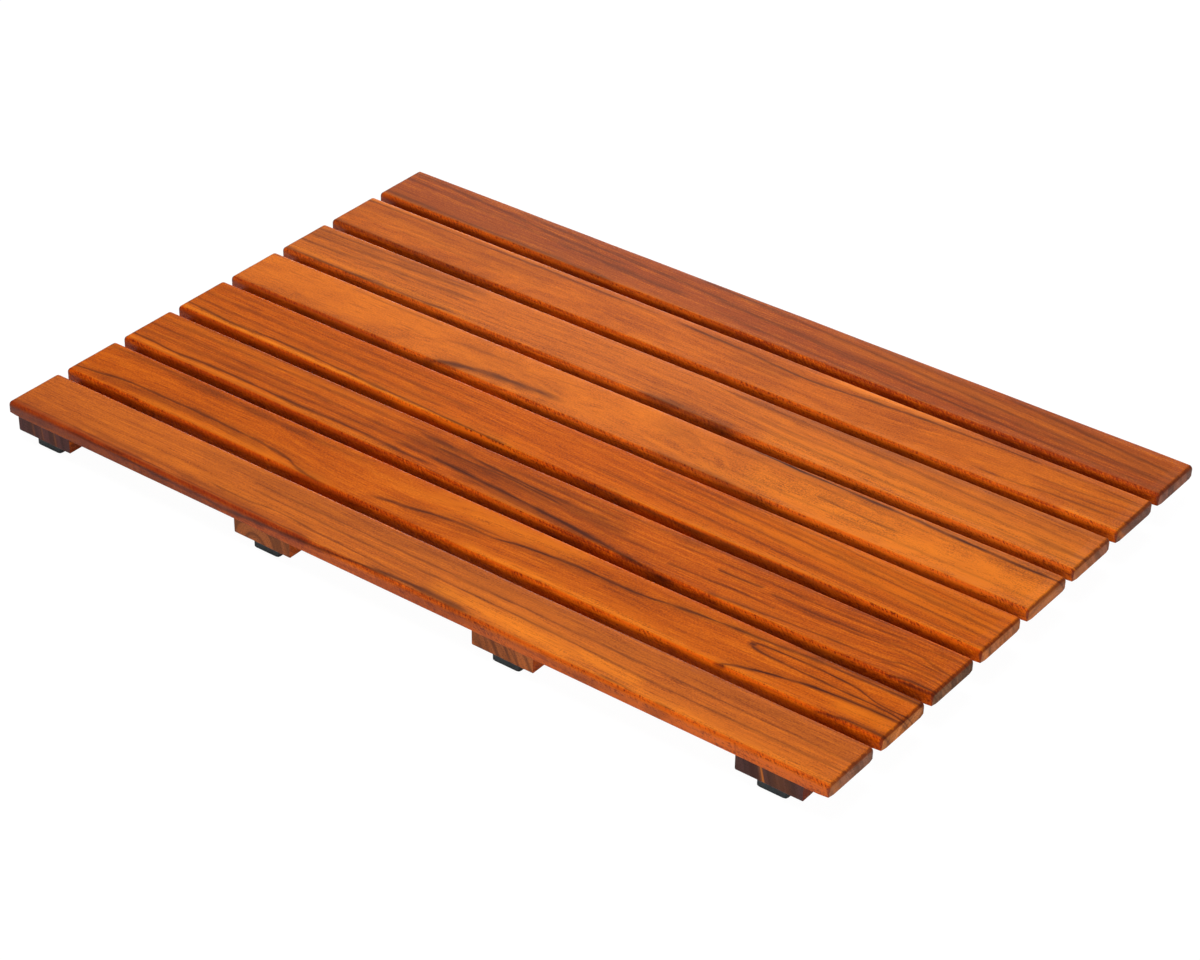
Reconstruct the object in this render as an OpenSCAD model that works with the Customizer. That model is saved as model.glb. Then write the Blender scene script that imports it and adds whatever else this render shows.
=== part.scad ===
// Slatted wooden bath mat, in millimetres.
// Planks lie side by side with drain gaps between them. Battens run across underneath and hold
// them with screws driven up from below. Rubber pads under the battens carry the mat.
// +X runs along the planks, +Y from the front edge to the back edge, and +Z up.
// The origin is on the ground under the middle of the mat.

/* [Planks] */
// How many planks lie side by side
slat_n = 8; // [4:1:10]
// Length of a plank, which is the length of the mat
slat_len = 787; // [500:1:1000]
// Width of a plank
slat_w = 56; // [50:1:80]
// Thickness of a plank
slat_t = 10.5; // [9.5:0.5:16]
// Drain gap between two planks
slat_gap = 8.5; // [4.5:0.5:12]
// Radius of the rounded edge round the top of a plank
slat_round = 3.5; // [1:0.5:5]
// Radius of a plank's upright corners
slat_corner = 3.5; // [0.5:0.1:4.5]

/* [Battens] */
// How many battens run across below the planks
batten_n = 4; // [2:1:5]
// Width of a batten
batten_w = 57; // [52:1:80]
// Thickness of a batten
batten_t = 13.5; // [12:0.5:18]
// How far the outer battens stand in from the ends of the planks, if they are centred
batten_margin = 15.5; // [12:0.5:60]
// How far the whole row of battens stands off the middle, along the planks
batten_shift = -5; // [-8:0.5:8]
// How far the ends of a batten stand in from the outer planks' faces
batten_inset = 0.5; // [0.2:0.1:4]
// Radius of a batten's lower edges
batten_round = 2; // [0.5:0.1:3]

/* [Feet] */
// Side of a square rubber foot
foot_w = 26; // [20:1:28]
// Thickness of a foot
foot_t = 8; // [7:0.5:12]
// Radius of a foot's upright corners
foot_round = 3; // [2:0.5:5]
// Bevel round the bottom of a foot
foot_bevel = 1.2; // [0.5:0.1:2]
// How far the outer feet stand in from the ends of a batten
foot_setback = 3.5; // [1:0.5:20]

/* [Screws] */
// Outer diameter of the screw threads
screw_d = 3.5; // [3:0.1:4]
// Length of a countersunk screw that holds a plank
slat_screw_len = 20; // [16:1:20]
// Length of a pan-head screw that holds a foot
foot_screw_len = 12; // [10:1:12]
// Diameter of a screw head
head_d = 7; // [6:0.1:7.4]
// How far a screw stands from the middle of its batten, along the planks
screw_dx = 18; // [18:0.5:21]
// How far a screw stands from the middle of its plank, across the planks
screw_dy = 15; // [8:0.5:18]

/* [Hidden] */
$fn = 48;
// Overrun that lets a cut pass right through a face
over = 1;

mat_w = slat_n * slat_w + (slat_n - 1) * slat_gap;
batten_len = mat_w - 2 * batten_inset;
batten_pitch = (slat_len - 2 * batten_margin - batten_w) / (batten_n - 1);
batten_z = foot_t;
slat_z = batten_z + batten_t;

// Each batten stands on a foot near each end and one in the middle
foot_places = ["front", "middle", "back"];
foot_travel = batten_len / 2 - foot_setback - foot_w / 2;

// Screw proportions, from the outer diameter of the thread
core_r = 0.34 * screw_d;
thread_r = screw_d / 2;
thread_pitch = 0.45 * screw_d;
tip_len = 0.9 * screw_d;
head_r = head_d / 2;
head_rim = 0.4;
cone_h = head_r - core_r;
pan_h = 2.2;
pan_dome = 0.7;
recess_w = 0.9;
recess_len = 0.55 * head_d;
recess_depth = 1.5;

// Clearance round a thread, room past a screw's tip, and how deep a countersunk head sits
hole_gap = 0.1;
tip_gap = 0.8;
head_sink = 0.4;
head_gap = 0.3;
hole_r = thread_r + hole_gap;
// Rubber left between the underside of a pan head and the batten
foot_seat = 4.5;

function slat_y(i) = (i - (slat_n + 1) / 2) * (slat_w + slat_gap);
function batten_x(j) = (j - (batten_n + 1) / 2) * batten_pitch + batten_shift;
function foot_y(place) = (place == "front" ? -1 : place == "back" ? 1 : 0) * foot_travel;

slat_nodes = [for (i = [1:slat_n]) str("slat_", i)];
batten_nodes = [for (j = [1:batten_n]) str("batten_", j)];
foot_nodes = [for (j = [1:batten_n]) for (place = foot_places) str("foot_", j, "_", place)];
slat_screw_nodes = [for (j = [1:batten_n]) str("slat_screws_", j)];
foot_screw_nodes = [for (j = [1:batten_n]) str("foot_screws_", j)];

// Rectangle w by h, centred across and standing on its base, with its two upper corners rounded
module round_topped(w, h, r) {
    translate([-w / 2, 0])
        square([w, h - r]);
    translate([r - w / 2, 0])
        square([w - 2 * r, h]);
    for (side = [-1, 1])
        translate([side * (w / 2 - r), h - r])
            circle(r);
}

// Rectangle w by d about its centre, with four rounded corners
module round_cornered(w, d, r) {
    square([w, d - 2 * r], center = true);
    square([w - 2 * r, d], center = true);
    for (side = [-1, 1])
        for (end = [-1, 1])
            translate([side * (w / 2 - r), end * (d / 2 - r)])
                circle(r);
}

// Places its children at the two screws of each plank on a batten, measured from the batten
module at_slat_screws(i) {
    for (side = [-1, 1])
        translate([side * screw_dx, slat_y(i) + side * screw_dy, 0])
            children();
}

// Plank: square below and rounded over all round the top, with blind screw holes from below
module slat(i) {
    color(i % 2 == 0 ? "chocolate" : "sienna")
        translate([0, slat_y(i), slat_z])
            difference() {
                slat_blank();
                for (j = [1:batten_n])
                    translate([batten_x(j), -slat_y(i), -over])
                        at_slat_screws(i)
                            cylinder(h = over + slat_screw_len + head_sink + tip_gap - batten_t, r = hole_r);
            }
}

module slat_blank() {
    intersection() {
        rotate([90, 0, 90])
            translate([0, 0, -slat_len / 2])
                linear_extrude(slat_len)
                    round_topped(slat_w, slat_t, slat_round);
        rotate([90, 0, 0])
            translate([0, 0, -slat_w / 2])
                linear_extrude(slat_w)
                    round_topped(slat_len, slat_t, slat_round);
        linear_extrude(slat_t)
            round_cornered(slat_len, slat_w, slat_corner);
    }
}

// Batten: a bar across all the planks, with countersunk holes for them and pilot holes for the feet
module batten(j) {
    color("saddlebrown")
        translate([batten_x(j), 0, batten_z])
            difference() {
                rotate([90, 180, 0])
                    translate([0, -batten_t, -batten_len / 2])
                        linear_extrude(batten_len)
                            round_topped(batten_w, batten_t, batten_round);
                for (i = [1:slat_n])
                    at_slat_screws(i)
                        countersunk_hole();
                for (place = foot_places)
                    translate([0, foot_y(place), -over])
                        cylinder(h = over + foot_screw_len + tip_gap - foot_seat, r = hole_r);
            }
}

// Hole right through a batten, opening in a cone for a head that sits just under the surface
module countersunk_hole() {
    mouth_r = head_r + head_gap;
    cone_z = head_sink + head_rim;
    rotate_extrude()
        polygon([
            [0, -over],
            [mouth_r, -over],
            [mouth_r, cone_z],
            [hole_r, cone_z + mouth_r - hole_r],
            [hole_r, batten_t + over],
            [0, batten_t + over]
        ]);
}

// Rubber foot: a bevelled square pad with a well in its underside for the screw head
module foot(j, place) {
    well_r = head_r + head_gap;
    color("darkslategray")
        translate([batten_x(j), foot_y(place), 0])
            difference() {
                foot_blank();
                translate([0, 0, -over])
                    cylinder(h = foot_t + 2 * over, r = hole_r);
                translate([0, 0, -over])
                    cylinder(h = over + foot_t - foot_seat, r = well_r);
            }
}

module foot_blank() {
    intersection() {
        linear_extrude(foot_t)
            round_cornered(foot_w, foot_w, foot_round);
        for_bevel(0)
            foot_profile();
        for_bevel(90)
            foot_profile();
    }
}

// Turns a profile across the pad into a bar along it, at the given angle about the upright
module for_bevel(angle) {
    rotate([90, 0, angle])
        translate([0, 0, -foot_w / 2])
            linear_extrude(foot_w)
                children();
}

module foot_profile() {
    polygon([
        [foot_bevel - foot_w / 2, 0],
        [foot_w / 2 - foot_bevel, 0],
        [foot_w / 2, foot_bevel],
        [foot_w / 2, foot_t],
        [-foot_w / 2, foot_t],
        [-foot_w / 2, foot_bevel]
    ]);
}

// Half outline of a threaded shank that rises from z = start to a point at z = end
function shank_outline(start, end) =
    let (ridge_n = floor((end - tip_len - start) / thread_pitch) - 1)
    concat(
        [for (k = [0:ridge_n - 1])
            for (p = [[core_r, 0], [thread_r, 0.5], [core_r, 1]])
                if (k == 0 || p[1] > 0)
                    [p[0], end - tip_len - (ridge_n - k - p[1]) * thread_pitch]],
        [[0, end]]
    );

// Countersunk screw with its head down, its flat face at z = 0
module countersunk_screw() {
    difference() {
        rotate_extrude()
            polygon(concat(
                [[0, 0], [head_r, 0], [head_r, head_rim], [core_r, head_rim + cone_h]],
                shank_outline(head_rim + cone_h, slat_screw_len)
            ));
        cross_recess();
    }
}

// Pan-head screw with its head down, its seat at z = pan_h
module pan_screw() {
    difference() {
        rotate_extrude()
            polygon(concat(
                [[0, 0], [head_r - pan_dome, 0], [head_r, pan_dome], [head_r, pan_h], [core_r, pan_h]],
                shank_outline(pan_h, pan_h + foot_screw_len)
            ));
        cross_recess();
    }
}

module cross_recess() {
    for (angle = [0, 90])
        rotate(angle)
            translate([0, 0, recess_depth / 2 - over / 2])
                cube([recess_len, recess_w, recess_depth + over], center = true);
}

// All the screws that hold the planks to one batten
module slat_screws(j) {
    color("silver")
        translate([batten_x(j), 0, batten_z + head_sink])
            for (i = [1:slat_n])
                at_slat_screws(i)
                    countersunk_screw();
}

// All the screws that hold the feet of one batten
module foot_screws(j) {
    color("silver")
        for (place = foot_places)
            translate([batten_x(j), foot_y(place), foot_t - foot_seat - pan_h])
                pan_screw();
}

for (i = [1:slat_n])
    slat(i);

for (j = [1:batten_n]) {
    batten(j);
    slat_screws(j);
    foot_screws(j);
    for (place = foot_places)
        foot(j, place);
}
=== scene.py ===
import math

import bmesh
import bpy
from mathutils import Matrix, Vector, noise


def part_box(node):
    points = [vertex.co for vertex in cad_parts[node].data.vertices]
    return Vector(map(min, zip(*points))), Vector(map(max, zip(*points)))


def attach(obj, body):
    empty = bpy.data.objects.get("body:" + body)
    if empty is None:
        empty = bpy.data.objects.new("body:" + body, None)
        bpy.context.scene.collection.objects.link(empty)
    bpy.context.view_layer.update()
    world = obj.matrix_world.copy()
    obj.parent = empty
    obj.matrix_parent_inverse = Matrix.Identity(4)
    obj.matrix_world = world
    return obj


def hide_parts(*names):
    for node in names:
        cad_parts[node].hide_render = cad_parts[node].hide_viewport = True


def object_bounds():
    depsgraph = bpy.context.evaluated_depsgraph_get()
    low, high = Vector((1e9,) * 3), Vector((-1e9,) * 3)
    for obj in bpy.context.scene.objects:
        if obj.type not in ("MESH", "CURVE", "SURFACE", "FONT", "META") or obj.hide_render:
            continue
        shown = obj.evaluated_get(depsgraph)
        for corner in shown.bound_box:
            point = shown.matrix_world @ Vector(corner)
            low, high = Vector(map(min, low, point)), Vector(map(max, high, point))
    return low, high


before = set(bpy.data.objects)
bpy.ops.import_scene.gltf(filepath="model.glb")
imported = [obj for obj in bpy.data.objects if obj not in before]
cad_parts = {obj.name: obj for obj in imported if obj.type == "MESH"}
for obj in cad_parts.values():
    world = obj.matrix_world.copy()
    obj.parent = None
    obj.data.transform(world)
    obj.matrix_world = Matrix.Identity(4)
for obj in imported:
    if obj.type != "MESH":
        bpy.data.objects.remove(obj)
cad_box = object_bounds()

# Slatted teak bath mat. +X runs along the planks, +Y from the front edge to the back, +Z up.
# Lengths are in metres, except where a name or a comment says millimetres.
MM = 0.001
SLAT_NAMES = [f"slat_{i}" for i in range(1, 9)]
BATTEN_NAMES = [f"batten_{j}" for j in range(1, 5)]
FOOT_PLACES = ["front", "middle", "back"]

# Rounding of the wood and rubber, in metres
PLANK_ROUND = 3.5 * MM
PLANK_UNDERSIDE_ROUND = 0.5 * MM
PLANK_CORNER = 3.5 * MM
BATTEN_ROUND = 2.0 * MM
BATTEN_TOP_ROUND = 0.3 * MM
BATTEN_CORNER = 0.7 * MM
FOOT_BEVEL = 1.2 * MM
FOOT_TOP_ROUND = 0.4 * MM
FOOT_CORNER = 3.0 * MM

# Screw heads and the holes that hold them
HEAD_RADIUS = 3.5 * MM
HEAD_GAP = 0.3 * MM
SINK_DEPTH = 0.8 * MM
WELL_DEPTH = 3.5 * MM
WELL_LIP = 0.4 * MM

# Colours, linear
TEAK_DARK = (0.170, 0.024, 0.003)
TEAK_GOLD = (0.940, 0.245, 0.010)
# This red is partly the wood's colour and partly painted shade, along the left of the planks' front
# edges
TEAK_RED_AND_SHADE = (0.260, 0.028, 0.003)
# The two tints below are painted shade, multiplied into the long rounded edges and their shoulders
EDGE_SHADE_TINT = (0.90, 0.68, 0.50)
SHOULDER_SHADE_TINT = (1.00, 0.80, 0.60)
VEIN_BROWN = (0.048, 0.008, 0.003)
ARRIS_RED = (0.090, 0.012, 0.004)
RUBBER_BLACK = (0.010, 0.012, 0.013)
# The cool tint below is painted sheen, laid in patches over the black rubber
RUBBER_SHEEN_TINT = (0.024, 0.031, 0.033)
RUBBER_RUBBED = (0.055, 0.062, 0.064)
RUBBER_DUST = (0.075, 0.075, 0.070)
STEEL_BRIGHT = (0.60, 0.60, 0.59)
STEEL_DULL = (0.42, 0.40, 0.37)

# The figure of each plank. Tone and end are the colours of its long grain and of its end grain.
# Gloss, where it is given, scales how much the plank mirrors. Pith is the centre of the growth rings,
# (across, up) in millimetres from the middle of the plank, and bands is how much the rings show.
# Points are (x, y) in millimetres, x from the middle of the plank and y from its front edge.
# Flow is how far the grain drifts across the plank along it. A vein is (strength, half width, points):
# a dark line through the wood that fades in and out. Tips are veins that start and end sharply, and
# gold and red streaks have the same form.
# Gold streaks along the front edge, y about 0 to 5, are partly the wood's colour and partly painted
# light: the glow of the lit front edges.
# The red streaks, all at the left of the front edges, are partly the wood's colour and partly painted
# shade.
PLANKS = [{
    "tone": (0.540, 0.117, 0.010),
    "end": (0.218, 0.084, 0.042),
    "pith": (-190, -60),
    "flow": [(-394, 0), (-100, 1), (150, -1), (394, -3)],
    "bands": 0.30,
    "veins": [
        (0.60, 0.8, [(-175, 36), (0, 35), (175, 33.7), (394, 31.7)]),
        (0.55, 0.8, [(-165, 27.5), (0, 25), (150, 23), (225, 20.5), (394, 20)]),
        (0.55, 0.7, [(-205, 17), (-156, 13.5), (-118, 16.2), (-81, 14), (-18, 11.7), (25, 9)]),
        (0.30, 0.9, [(-110, 50), (0, 47), (160, 44), (394, 43)]),
        (0.35, 0.8, [(-60, 54), (120, 53.5), (394, 52)]),
        (0.22, 6.0, [(130, 40), (250, 42), (394, 38)]),
        (0.30, 1.4, [(-340, 12), (-200, 9), (-120, 8)]),
        (0.55, 0.6, [(-394, 6.2), (-340, 6.4), (-300, 5.6), (-225, 4.6), (-150, 4.6), (-60, 4)]),
        (0.85, 0.9, [(-296, 1.2), (-277, 0.8), (-258, 1.2)]),
        (0.62, 3.2, [(-394, -5), (-300, -5.5), (-200, -6.5), (-150, -7.5)]),
        (0.80, 0.9, [(-340, -0.5), (-300, -1.2), (-250, -2.2), (-197, -3.2), (-160, -3.5), (-124, -2.7),
            (-86, -1.4), (-50, 0.5), (-20, 3), (10, 4.5), (40, 5)]),
        (0.90, 2.0, [(-30, 4), (0, 5.2), (30, 6), (55, 5.5), (90, 4)]),
        (0.55, 1.0, [(185, 2.5), (205, 4), (232, 3)]),
        (0.45, 1.0, [(240, 3.5), (252, 3), (266, 2)]),
        (0.40, 1.8, [(165, -4), (185, -5), (210, -4)]),
        (0.40, 2.2, [(232, -3), (248, -4.5), (262, -3)]),
        (0.18, 7.0, [(-240, 47), (-60, 45), (170, 46)]),
        (0.25, 1.0, [(20, -3.5), (140, -3), (240, -4.5)]),
    ],
    "gold": [
        (0.70, 6.0, [(20, 15), (90, 14.5), (170, 13), (240, 14)]),
        (0.22, 7.0, [(-340, 22), (-200, 18), (-60, 20)]),
        (0.20, 5.0, [(230, 10), (310, 10), (394, 9)]),
        (0.60, 4.0, [(110, 2.5), (200, 3), (260, 3.5), (394, 3)]),
        (0.50, 3.5, [(60, -5), (110, -4), (150, -5)]),
        (0.45, 3.0, [(170, -3), (280, -3.5), (394, -3)]),
    ],
    "red": [
        (0.70, 2.6, [(-394, 3.5), (-300, 3.0), (-225, 2.0), (-150, 1.5), (-60, 1)]),
        (0.55, 2.2, [(-394, -1), (-300, -1), (-225, -1.5), (-60, -1)]),
    ],
}, {
    "tone": (0.530, 0.093, 0.002),
    "gloss": 0.55,
    "end": (0.440, 0.140, 0.034),
    "pith": (30, -45),
    "flow": [(-394, 0), (-250, 6), (-100, -4), (60, 6), (394, 14)],
    "bands": 0.18,
    "veins": [
        (0.50, 2.0, [(-394, 49.5), (-343, 49), (-218, 46), (-140, 46), (-93, 48)]),
        (0.82, 1.2, [(-394, 8), (-368, 11.7), (-348, 16), (-318, 17.5), (-268, 18), (-218, 16.7),
            (-181, 14.7), (-163, 11.7), (-153, 8), (-143, 5), (-128, 2.5), (-106, 1)]),
        (0.38, 2.6, [(-390, 10), (-350, 12), (-290, 13), (-230, 12.5), (-170, 9)]),
        (0.92, 1.2, [(-90, 10), (-76, 13), (-43, 18), (-18, 23), (0, 25), (25, 25.2), (37, 26.7),
            (50, 30), (75, 33), (100, 35), (150, 34.8), (165, 36), (187, 39.2), (225, 43),
            (275, 46), (300, 48), (350, 49.5), (394, 50)]),
        (0.55, 0.8, [(-30, 27), (0, 29.2), (30, 30), (60, 32)]),
        (0.42, 3.0, [(50, 30), (75, 32.5), (150, 34.5), (187, 38.5), (225, 42.5), (260, 45)]),
        (0.30, 3.0, [(-60, 14), (0, 21), (60, 27), (150, 31)]),
        (0.80, 2.0, [(270, 54.5), (330, 53.5), (394, 53)]),
        (0.20, 5.0, [(20, 30), (100, 31), (190, 33)]),
    ],
    "tips": [
        (0.95, 1.6, [(255, 36.5), (260, 36.7), (266, 36.4)]),
        (0.92, 0.8, [(257, 37.5), (262, 39), (270, 40), (300, 41), (325, 40.5), (345, 39.2), (357, 36),
            (375, 32.2), (394, 32.4)]),
        (0.92, 0.8, [(257, 35.5), (262, 33.5), (272, 31.7), (300, 30.6), (337, 30), (375, 29.4),
            (394, 26.7)]),
        (0.97, 1.0, [(252, 0), (256, 3), (261, 6.2), (275, 10.5), (300, 16.7), (325, 21.2), (350, 23.5),
            (394, 24.2)]),
        (0.90, 1.4, [(250, 1.5), (256, 1.7), (263, 1)]),
        (0.85, 1.0, [(334, -1.5), (350, 1.7), (370, 4.4), (394, 3.6)]),
    ],
    "gold": [
        (0.42, 2.6, [(-330, 4.5), (-280, 5), (-190, 5), (-100, 4)]),
        (0.42, 7.0, [(-60, 38), (0, 42), (60, 46), (120, 50)]),
        (0.55, 2.8, [(0, 4), (120, 5), (240, 4.5)]),
        (0.45, 5.0, [(330, 13), (360, 15), (394, 16)]),
        (0.50, 3.0, [(140, 1), (262, 2), (310, 1.5), (350, -1)]),
    ],
    "red": [(0.55, 1.6, [(-300, -1.5), (-200, -1), (-60, -2)])],
}, {
    "tone": (0.515, 0.089, 0.003),
    "gloss": 0.55,
    "end": (0.190, 0.080, 0.034),
    "pith": (-230, -30),
    "flow": [(-394, 0), (-100, 1), (60, -5), (200, -4), (330, 1), (360, 4), (394, 1)],
    "bands": 0.32,
    "veins": [
        (0.78, 1.1, [(-394, 11), (-368, 10.5), (-343, 8.7), (-318, 10.5), (-293, 11.2), (-218, 10.5),
            (-143, 11.2), (-93, 9.2), (-60, 9)]),
        (0.45, 1.6, [(-394, 20), (-250, 20.5), (-70, 21)]),
        (0.50, 1.6, [(-394, 31.5), (-250, 30.5), (-70, 29)]),
        (0.40, 1.6, [(-394, 42), (-250, 43), (-70, 42)]),
        (0.25, 1.2, [(-394, 53), (-200, 52), (-70, 52)]),
        (0.20, 8.0, [(-20, 18), (40, 19), (110, 25)]),
        (0.55, 6.0, [(-130, 31), (-70, 29), (-20, 28), (30, 30), (80, 28), (120, 27)]),
        (0.82, 2.0, [(-120, 40), (-70, 38), (0, 34), (50, 32.5), (100, 33.5)]),
        (0.82, 1.4, [(-105, 32), (-50, 31), (0, 31.5), (50, 26.7), (75, 23.5)]),
        (0.50, 1.2, [(75, 23), (110, 21.5), (150, 22)]),
        (0.90, 1.9, [(-125, 19), (-60, 17.5), (0, 14.2), (37, 11.7), (75, 8), (112, 4.2), (150, 0),
            (180, -3)]),
        (0.55, 3.0, [(-60, 9), (0, 11), (60, 6), (110, 1)]),
        (0.50, 2.0, [(-40, 44), (0, 42.5), (50, 42), (110, 40)]),
        (0.50, 1.2, [(40, 49), (100, 48), (180, 49)]),
        (0.50, 0.9, [(130, 40), (212, 42.5), (275, 41), (330, 43), (394, 44)]),
        (0.45, 0.9, [(110, 51), (250, 52), (394, 51)]),
        (0.35, 0.8, [(260, 47), (330, 48), (394, 49)]),
    ],
    "tips": [
        (0.70, 0.9, [(185, 32.5), (205, 32.6), (228, 34)]),
        (0.60, 0.9, [(232, 31), (275, 30.5), (325, 32.5), (357, 34.2), (375, 30), (394, 26)]),
        (0.45, 0.8, [(240, 27), (290, 27), (340, 29), (370, 26), (394, 22)]),
        (0.55, 0.9, [(150, 15.5), (190, 17), (212, 18.5), (250, 17)]),
        (0.62, 0.9, [(195, 3), (250, 7.5), (300, 11), (345, 14), (357, 18), (372, 19.4), (394, 17.5)]),
        (0.50, 0.8, [(340, 9), (356, 13), (372, 14.5), (394, 12.5)]),
        (0.85, 0.9, [(352, 0), (362, 2.4), (374, 4.4), (394, 4)]),
        (0.80, 0.9, [(364, -1), (376, 0.8), (394, 0.5)]),
    ],
    "gold": [
        (0.50, 2.6, [(-394, 5), (-240, 5.2), (-90, 4.5)]),
        (0.25, 5.0, [(-394, 47), (-250, 47), (-120, 47)]),
        (0.45, 2.6, [(190, 1), (280, 1), (340, 0.5)]),
        (0.35, 3.5, [(-30, 3), (20, 2), (60, 0)]),
    ],
    "red": [(0.50, 1.6, [(-360, -0.5), (-200, -0.5), (-90, -1)])],
}, {
    "tone": (0.548, 0.094, 0.002),
    "gloss": 0.55,
    "end": (0.360, 0.120, 0.042),
    "pith": (-260, -30),
    "flow": [(-394, 2), (-200, 1), (0, -2), (394, -16)],
    "bands": 0.18,
    "veins": [
        (0.78, 1.0, [(-394, 11.7), (-368, 10), (-343, 8), (-318, 8.5), (-293, 10), (-218, 8),
            (-143, 5.5), (-68, 3.5), (-30, 2)]),
        (0.42, 1.6, [(-394, 20.5), (-250, 18.5), (-100, 15.5)]),
        (0.48, 1.7, [(-394, 33), (-250, 31), (-80, 27)]),
        (0.30, 1.4, [(-394, 45.5), (-250, 44), (-60, 41.5)]),
        (0.40, 1.3, [(60, 50), (225, 43), (394, 34)]),
        (0.48, 1.2, [(60, 44), (200, 38), (394, 28)]),
        (0.40, 1.2, [(60, 33), (225, 25), (394, 17)]),
        (0.42, 1.2, [(20, 22), (100, 19), (250, 13), (394, 7)]),
        (0.70, 1.2, [(10, -0.7), (150, -1), (300, -0.5)]),
        (0.35, 1.0, [(120, 54), (260, 48), (394, 41)]),
    ],
    "gold": [
        (0.75, 2.8, [(-394, 4.5), (-250, 4), (-60, 1), (0, 0)]),
        (0.35, 4.0, [(150, 51), (225, 51), (394, 48)]),
        (0.34, 5.0, [(190, 42), (290, 37), (394, 30)]),
        (0.30, 7.0, [(130, 34), (250, 29), (394, 23)]),
        (0.55, 2.4, [(40, 2.5), (230, 3), (394, 2.5)]),
    ],
    "red": [(0.55, 1.6, [(-394, -0.5), (-250, -0.5), (-150, -1)])],
}, {
    "tone": (0.632, 0.140, 0.008),
    "end": (0.340, 0.108, 0.034),
    "pith": (10, -160),
    "flow": [(-394, 0), (-120, 2), (0, 5), (150, 2), (394, -2)],
    "bands": 0.15,
    "veins": [
        (0.85, 2.6, [(-190, -3), (-176, -1.5), (-163, 4), (-148, 8), (-136, 11), (-100, 15),
            (-40, 18)]),
        (0.40, 0.9, [(-310, 49), (-240, 48.5), (-180, 49)]),
        (0.35, 1.2, [(-190, 33), (-140, 38), (-90, 40)]),
        (0.97, 1.1, [(80, 56), (100, 55), (125, 53), (175, 51), (250, 49.7), (325, 46.7), (394, 45.5)]),
        (0.60, 1.0, [(170, 53.5), (230, 51), (280, 48.5)]),
        (0.40, 0.9, [(260, 52), (394, 50)]),
        (0.50, 2.8, [(40, 2), (75, 2.5), (100, 3), (125, 1.5), (150, -1), (175, -3)]),
        (0.30, 3.0, [(80, 50), (200, 49), (270, 48)]),
        (0.30, 5.0, [(20, 40), (50, 36), (90, 32)]),
        (0.25, 0.9, [(60, 44), (200, 42), (394, 39)]),
        (0.25, 0.9, [(60, 20), (200, 17), (394, 14)]),
    ],
    "tips": [(0.55, 0.8, [(186, 30), (205, 29), (225, 27.7), (266, 26.5)])],
    "gold": [
        (0.45, 3.0, [(-394, 2), (-300, 2), (-215, 1)]),
        (0.55, 14.0, [(110, 22), (250, 20), (394, 24)]),
        (0.40, 4.0, [(180, 40), (300, 38), (394, 36)]),
        (0.50, 3.0, [(190, 1.5), (300, 2), (394, 2)]),
        (0.40, 5.0, [(70, 9), (110, 11), (170, 12)]),
    ],
    "red": [(0.55, 3.0, [(-394, 0), (-310, 0.5), (-200, -1)])],
}, {
    "tone": (0.585, 0.129, 0.010),
    "end": (0.300, 0.098, 0.042),
    "pith": (-120, -70),
    "flow": [(-394, -2), (-200, 3), (0, 4), (120, -2), (394, -12)],
    "bands": 0.20,
    "veins": [
        (0.50, 1.8, [(-394, 46.7), (-300, 49), (-240, 53)]),
        (0.52, 1.8, [(-394, 35.5), (-343, 36.7), (-243, 43), (-190, 47)]),
        (0.52, 1.6, [(-394, 23), (-343, 25.5), (-293, 29), (-190, 33)]),
        (0.40, 0.9, [(-340, 17), (-312, 21), (-296, 26), (-280, 24.5), (-250, 21)]),
        (0.30, 3.0, [(-394, 41), (-300, 43), (-200, 50)]),
        (0.36, 6.0, [(60, 53), (200, 53), (394, 52)]),
        (0.14, 6.0, [(-394, 31), (-300, 33), (-200, 37)]),
        (0.75, 1.3, [(-394, 4.2), (-343, 3.5), (-268, 4), (-190, 6.5)]),
        (0.50, 1.3, [(30, 48), (150, 45.5), (260, 40), (394, 33)]),
        (0.38, 1.4, [(40, 32), (125, 28), (200, 26), (330, 22), (394, 20)]),
        (0.60, 1.5, [(335, 20), (365, 18.5), (394, 18)]),
        (0.35, 1.2, [(60, 20), (200, 14), (394, 8)]),
        (0.35, 1.2, [(90, 52), (240, 49), (394, 43)]),
        (0.80, 3.0, [(-20, 2.5), (25, 3), (60, 1), (100, -1)]),
    ],
    "gold": [
        (0.50, 2.4, [(-394, 9), (-250, 9), (-170, 11)]),
        (0.45, 2.6, [(-300, 1), (-170, 2)]),
        (0.55, 9.0, [(90, 11), (230, 12), (394, 11)]),
        (0.42, 7.0, [(130, 23), (250, 23), (394, 22)]),
        (0.50, 3.0, [(110, 1), (250, 2), (394, 2)]),
    ],
}, {
    "tone": (0.535, 0.106, 0.003),
    "end": (0.190, 0.067, 0.037),
    "pith": (-30, -90),
    "flow": [(-394, 0), (-100, -1), (80, -6), (200, 0), (394, 2)],
    "bands": 0.20,
    "veins": [
        (0.65, 1.1, [(-394, 48), (-343, 48.5), (-268, 47), (-198, 47.5), (-120, 47), (-60, 47)]),
        (0.78, 1.1, [(-60, 47), (-20, 45), (0, 44.2), (25, 43), (50, 40), (82, 38), (112, 39.2),
            (150, 42.5), (200, 45.5), (250, 46.7), (312, 47.5)]),
        (0.55, 0.9, [(290, 47.5), (350, 45.5), (394, 43.5)]),
        (0.55, 0.9, [(340, 42.5), (365, 41.7), (394, 41.5)]),
        (0.50, 0.7, [(286, 29), (330, 29.5), (360, 32), (394, 34)]),
        (0.50, 0.7, [(300, 22), (350, 23), (394, 25)]),
        (0.60, 0.8, [(245, 13), (280, 11.5), (330, 15), (394, 17)]),
        (0.30, 4.0, [(0, 32), (40, 30), (90, 32)]),
        (0.50, 2.0, [(-394, 2), (-300, 1.5), (-200, 1)]),
        (0.30, 1.2, [(-394, 20), (-300, 22), (-200, 20)]),
        (0.22, 8.0, [(-394, 33), (-300, 35), (-160, 35)]),
    ],
    "gold": [
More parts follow.
